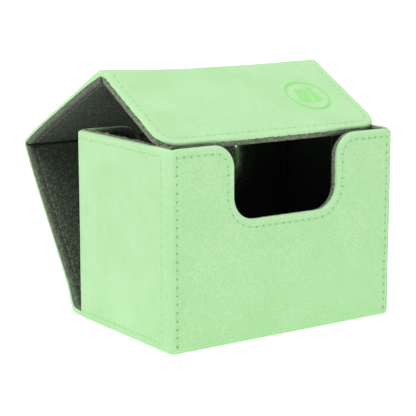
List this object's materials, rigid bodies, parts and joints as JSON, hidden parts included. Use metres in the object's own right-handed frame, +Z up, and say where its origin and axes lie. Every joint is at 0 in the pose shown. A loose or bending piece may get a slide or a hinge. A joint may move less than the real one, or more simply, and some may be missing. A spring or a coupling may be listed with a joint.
{
  "type": "card deck box",
  "caption": "Leatherette card deck box with a thumb notch front and rear, a suede lining, and a three-panel cover hinged at the lower rear edge, propped half open with its flap in the mouth.",
  "frame": {"origin": "centre of the box's underside, on the surface that it stands on", "axes": "+Z up, the notched front wall faces -Y, the cover's hinge is along X at the rear (+Y)"},
  "size_m": [0.1002, 0.1079, 0.0945],
  "materials": {
    "outer_leather": "mint green suede-touch leatherette with a fine nap",
    "suede_lining": "dark grey-green microfibre suede",
    "grey_board": "raw grey board, hidden under leather and lining",
    "magnet": "nickel-plated disc, hidden",
    "thread": "green polyester sewing thread"
  },
  "bodies": {
    "box": {"base_leather": "outer_leather", "body_leather": "outer_leather", "floor_board": "grey_board", "floor_lining": "suede_lining", "front_board": "grey_board", "rear_board": "grey_board", "left_board": "grey_board", "right_board": "grey_board", "front_lining": "suede_lining", "rear_lining": "suede_lining", "left_lining": "suede_lining", "right_lining": "suede_lining", "front_magnets": "magnet", "front_stitching": "thread", "rear_stitching": "thread", "left_stitching": "thread", "right_stitching": "thread", "rear_fold_leather": "outer_leather", "rear_fold_lining": "suede_lining"},
    "cover_back": {"back_leather": "outer_leather", "back_board": "grey_board", "back_lining": "suede_lining", "back_stitching": "thread", "top_fold_leather": "outer_leather", "top_fold_lining": "suede_lining"},
    "cover_top": {"top_leather": "outer_leather", "top_board": "grey_board", "top_lining": "suede_lining", "top_stitching": "thread", "flap_fold_leather": "outer_leather", "flap_fold_lining": "suede_lining"},
    "flap": {"flap_leather": "outer_leather", "flap_board": "grey_board", "flap_lining": "suede_lining", "flap_stitching": "thread", "flap_magnets": "magnet"}
  },
  "joints": [
    {"name": "rear_hinge", "type": "hinge", "parent": "box", "child": "cover_back", "pos_m": [0, 0.03425, 0.0008], "axis": [-1, 0, 0], "range_deg": [0, 56.1], "deforming": ["rear_fold_leather", "rear_fold_lining"]},
    {"name": "top_fold", "type": "hinge", "parent": "cover_back", "child": "cover_top", "pos_m": [0, 0.07524, 0.06181], "axis": [-1, 0, 0], "range_deg": [0, 96.3], "deforming": ["top_fold_leather", "top_fold_lining"]},
    {"name": "flap_fold", "type": "hinge", "parent": "cover_top", "child": "flap", "pos_m": [0, 0.01427, 0.09368], "axis": [-1, 0, 0], "range_deg": [0, 56.5], "deforming": ["flap_fold_leather", "flap_fold_lining"]}
  ]
}
